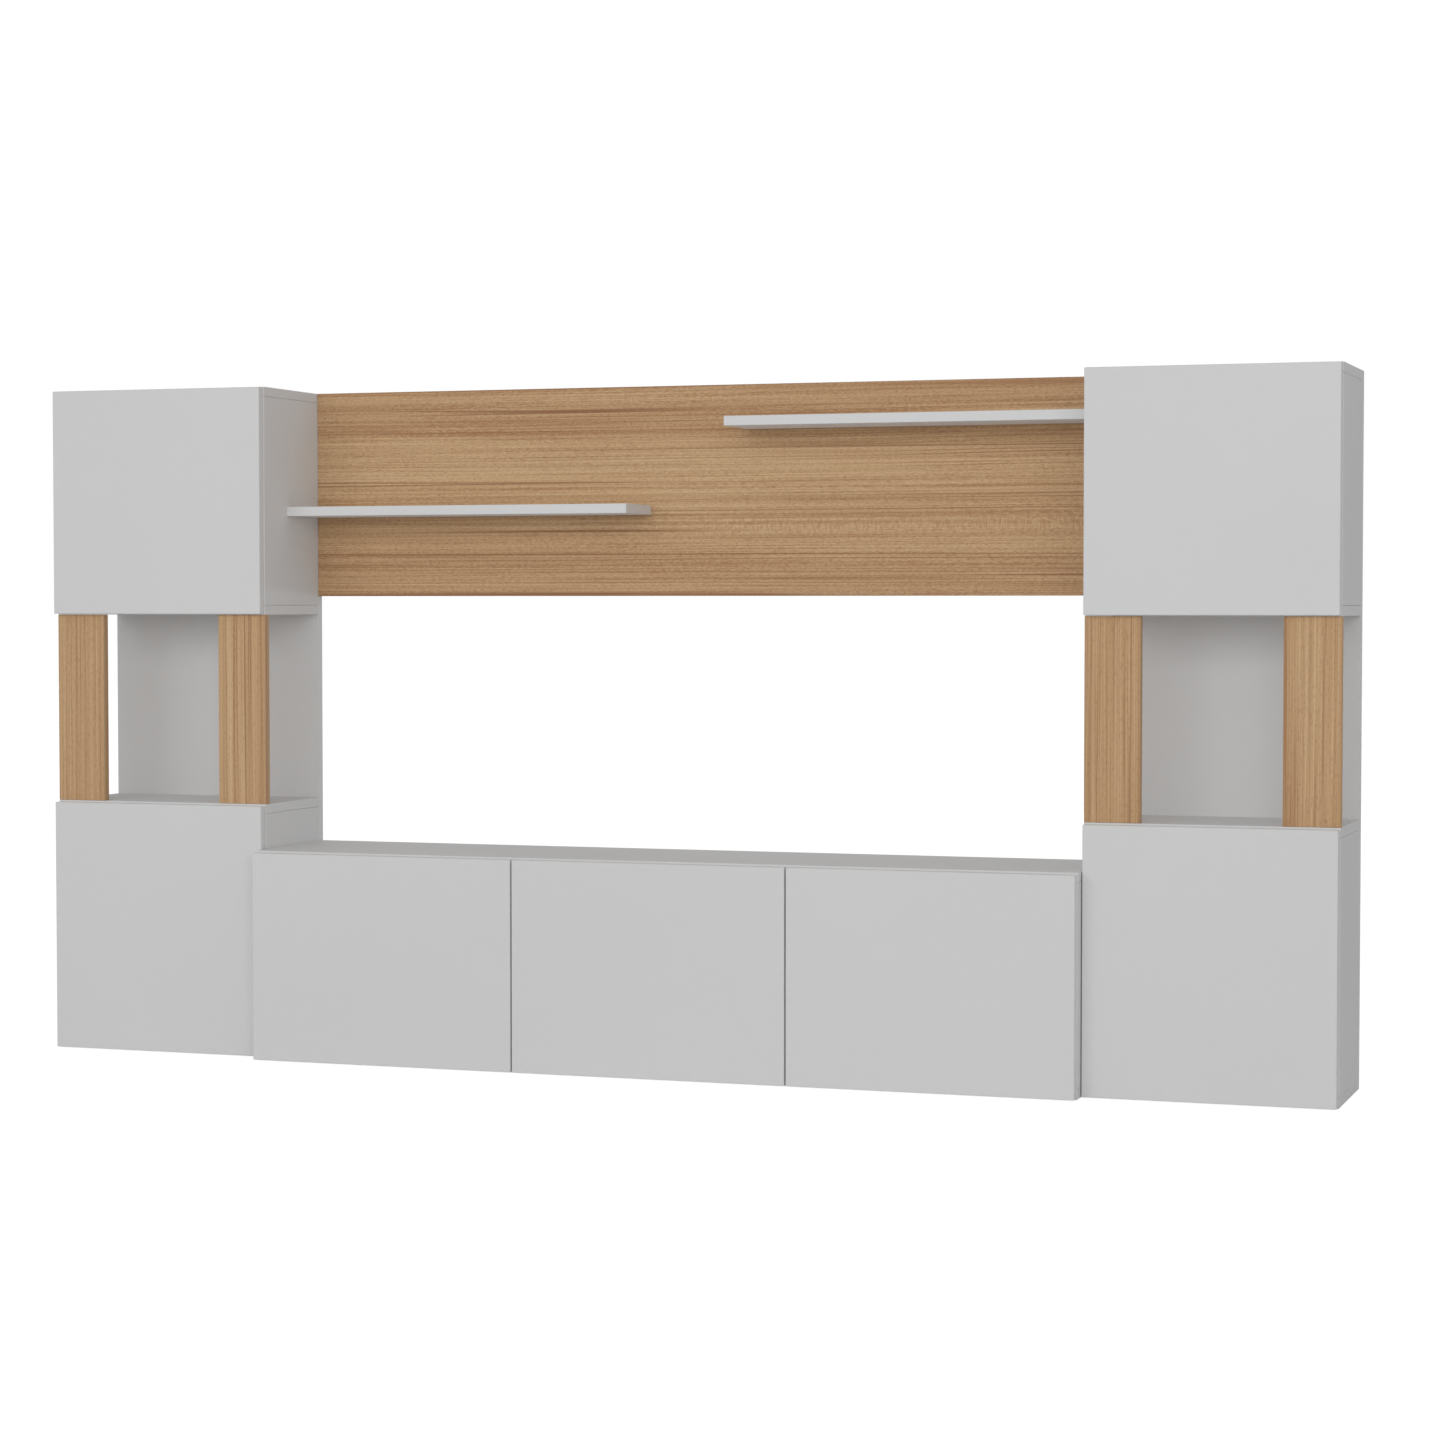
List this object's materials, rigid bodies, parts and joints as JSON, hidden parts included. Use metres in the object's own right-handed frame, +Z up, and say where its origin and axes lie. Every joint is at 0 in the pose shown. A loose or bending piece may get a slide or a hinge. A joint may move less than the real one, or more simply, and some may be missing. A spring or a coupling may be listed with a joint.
{
  "type": "tv unit",
  "caption": "Wall-wide TV unit: end towers with open niches, a low cabinet between them and a wood wall panel with floating shelves; all doors are hinged and handleless.",
  "frame": {"origin": "on the floor, at the middle of the unit's width and depth", "axes": "+X to the right along the wall, +Y to the wall, +Z up; the doors face -Y"},
  "size_m": [2.5006, 0.3122, 1.286],
  "materials": {
    "white_board": "white melamine-faced board, satin, with matching edge band",
    "oak_board": "oak laminate, satin, straight grain along the board",
    "hardboard": "white-faced hardboard",
    "hinge_steel": "nickel-plated steel, satin",
    "latch_plastic": "grey plastic"
  },
  "bodies": {
    "unit": {"left_tower_back": "white_board", "left_tower_lower_bottom": "white_board", "left_tower_lower_top": "white_board", "left_tower_lower_outer_side": "white_board", "left_tower_lower_inner_side": "white_board", "left_tower_lower_bottom_hinge_arm": "hinge_steel", "left_tower_lower_top_hinge_arm": "hinge_steel", "left_tower_upper_bottom": "white_board", "left_tower_upper_top": "white_board", "left_tower_upper_outer_side": "white_board", "left_tower_upper_inner_side": "white_board", "left_tower_upper_bottom_hinge_arm": "hinge_steel", "left_tower_upper_top_hinge_arm": "hinge_steel", "left_tower_inner_post": "oak_board", "left_tower_outer_post": "oak_board", "right_tower_back": "white_board", "right_tower_lower_bottom": "white_board", "right_tower_lower_top": "white_board", "right_tower_lower_outer_side": "white_board", "right_tower_lower_inner_side": "white_board", "right_tower_lower_bottom_hinge_arm": "hinge_steel", "right_tower_lower_top_hinge_arm": "hinge_steel", "right_tower_upper_bottom": "white_board", "right_tower_upper_top": "white_board", "right_tower_upper_outer_side": "white_board", "right_tower_upper_inner_side": "white_board", "right_tower_upper_bottom_hinge_arm": "hinge_steel", "right_tower_upper_top_hinge_arm": "hinge_steel", "right_tower_inner_post": "oak_board", "right_tower_outer_post": "oak_board", "tv_cabinet_bottom": "white_board", "tv_cabinet_top": "white_board", "tv_cabinet_left_side": "white_board", "tv_cabinet_right_side": "white_board", "tv_cabinet_left_divider": "white_board", "tv_cabinet_right_divider": "white_board", "tv_cabinet_back": "hardboard", "tv_cabinet_left_bottom_hinge_arm": "hinge_steel", "tv_cabinet_left_top_hinge_arm": "hinge_steel", "tv_cabinet_centre_bottom_hinge_arm": "hinge_steel", "tv_cabinet_centre_top_hinge_arm": "hinge_steel", "tv_cabinet_right_bottom_hinge_arm": "hinge_steel", "tv_cabinet_right_top_hinge_arm": "hinge_steel", "wall_panel": "oak_board", "left_shelf": "white_board", "right_shelf": "white_board"},
    "left_tower_lower_door": {"left_tower_lower_door": "white_board"},
    "left_tower_lower_latch_plunger": {"left_tower_lower_latch_plunger": "latch_plastic"},
    "left_tower_upper_door": {"left_tower_upper_door": "white_board"},
    "left_tower_upper_latch_plunger": {"left_tower_upper_latch_plunger": "latch_plastic"},
    "right_tower_lower_door": {"right_tower_lower_door": "white_board"},
    "right_tower_lower_latch_plunger": {"right_tower_lower_latch_plunger": "latch_plastic"},
    "right_tower_upper_door": {"right_tower_upper_door": "white_board"},
    "right_tower_upper_latch_plunger": {"right_tower_upper_latch_plunger": "latch_plastic"},
    "tv_cabinet_left_door": {"tv_cabinet_left_door": "white_board"},
    "tv_cabinet_left_latch_plunger": {"tv_cabinet_left_latch_plunger": "latch_plastic"},
    "tv_cabinet_centre_door": {"tv_cabinet_centre_door": "white_board"},
    "tv_cabinet_centre_latch_plunger": {"tv_cabinet_centre_latch_plunger": "latch_plastic"},
    "tv_cabinet_right_door": {"tv_cabinet_right_door": "white_board"},
    "tv_cabinet_right_latch_plunger": {"tv_cabinet_right_latch_plunger": "latch_plastic"}
  },
  "joints": [
    {"name": "left_tower_lower_door_swing", "type": "hinge", "parent": "unit", "child": "left_tower_lower_door", "pos_m": [-1.2488, -0.11215, 0.2421], "axis": [0, 0, -1], "range_deg": [0, 95]},
    {"name": "left_tower_lower_latch_travel", "type": "slide", "parent": "unit", "child": "left_tower_lower_latch_plunger", "axis": [0, -1, 0], "range_m": [0, 0.014]},
    {"name": "left_tower_upper_door_swing", "type": "hinge", "parent": "unit", "child": "left_tower_upper_door", "pos_m": [-1.2488, -0.11215, 1.068], "axis": [0, 0, -1], "range_deg": [0, 95]},
    {"name": "left_tower_upper_latch_travel", "type": "slide", "parent": "unit", "child": "left_tower_upper_latch_plunger", "axis": [0, -1, 0], "range_m": [0, 0.014]},
    {"name": "right_tower_lower_door_swing", "type": "hinge", "parent": "unit", "child": "right_tower_lower_door", "pos_m": [1.2488, -0.11215, 0.2421], "axis": [0, 0, 1], "range_deg": [0, 95]},
    {"name": "right_tower_lower_latch_travel", "type": "slide", "parent": "unit", "child": "right_tower_lower_latch_plunger", "axis": [0, -1, 0], "range_m": [0, 0.014]},
    {"name": "right_tower_upper_door_swing", "type": "hinge", "parent": "unit", "child": "right_tower_upper_door", "pos_m": [1.2488, -0.11215, 1.068], "axis": [0, 0, 1], "range_deg": [0, 95]},
    {"name": "right_tower_upper_latch_travel", "type": "slide", "parent": "unit", "child": "right_tower_upper_latch_plunger", "axis": [0, -1, 0], "range_m": [0, 0.014]},
    {"name": "tv_cabinet_left_door_swing", "type": "hinge", "parent": "unit", "child": "tv_cabinet_left_door", "pos_m": [-0.7985, -0.15615, 0.1991], "axis": [0, 0, -1], "range_deg": [0, 95]},
    {"name": "tv_cabinet_left_latch_travel", "type": "slide", "parent": "unit", "child": "tv_cabinet_left_latch_plunger", "axis": [0, -1, 0], "range_m": [0, 0.014]},
    {"name": "tv_cabinet_centre_door_swing", "type": "hinge", "parent": "unit", "child": "tv_cabinet_centre_door", "pos_m": [-0.26517, -0.15615, 0.1991], "axis": [0, 0, -1], "range_deg": [0, 95]},
    {"name": "tv_cabinet_centre_latch_travel", "type": "slide", "parent": "unit", "child": "tv_cabinet_centre_latch_plunger", "axis": [0, -1, 0], "range_m": [0, 0.014]},
    {"name": "tv_cabinet_right_door_swing", "type": "hinge", "parent": "unit", "child": "tv_cabinet_right_door", "pos_m": [0.7985, -0.15615, 0.1991], "axis": [0, 0, 1], "range_deg": [0, 95]},
    {"name": "tv_cabinet_right_latch_travel", "type": "slide", "parent": "unit", "child": "tv_cabinet_right_latch_plunger", "axis": [0, -1, 0], "range_m": [0, 0.014]}
  ],
  "couplings": [
    {"joint": "left_tower_lower_latch_travel", "follows": "left_tower_lower_door_swing", "m_per_rad": 0.00844},
    {"joint": "left_tower_upper_latch_travel", "follows": "left_tower_upper_door_swing", "m_per_rad": 0.00844},
    {"joint": "right_tower_lower_latch_travel", "follows": "right_tower_lower_door_swing", "m_per_rad": 0.00844},
    {"joint": "right_tower_upper_latch_travel", "follows": "right_tower_upper_door_swing", "m_per_rad": 0.00844},
    {"joint": "tv_cabinet_left_latch_travel", "follows": "tv_cabinet_left_door_swing", "m_per_rad": 0.00844},
    {"joint": "tv_cabinet_centre_latch_travel", "follows": "tv_cabinet_centre_door_swing", "m_per_rad": 0.00844},
    {"joint": "tv_cabinet_right_latch_travel", "follows": "tv_cabinet_right_door_swing", "m_per_rad": 0.00844}
  ]
}
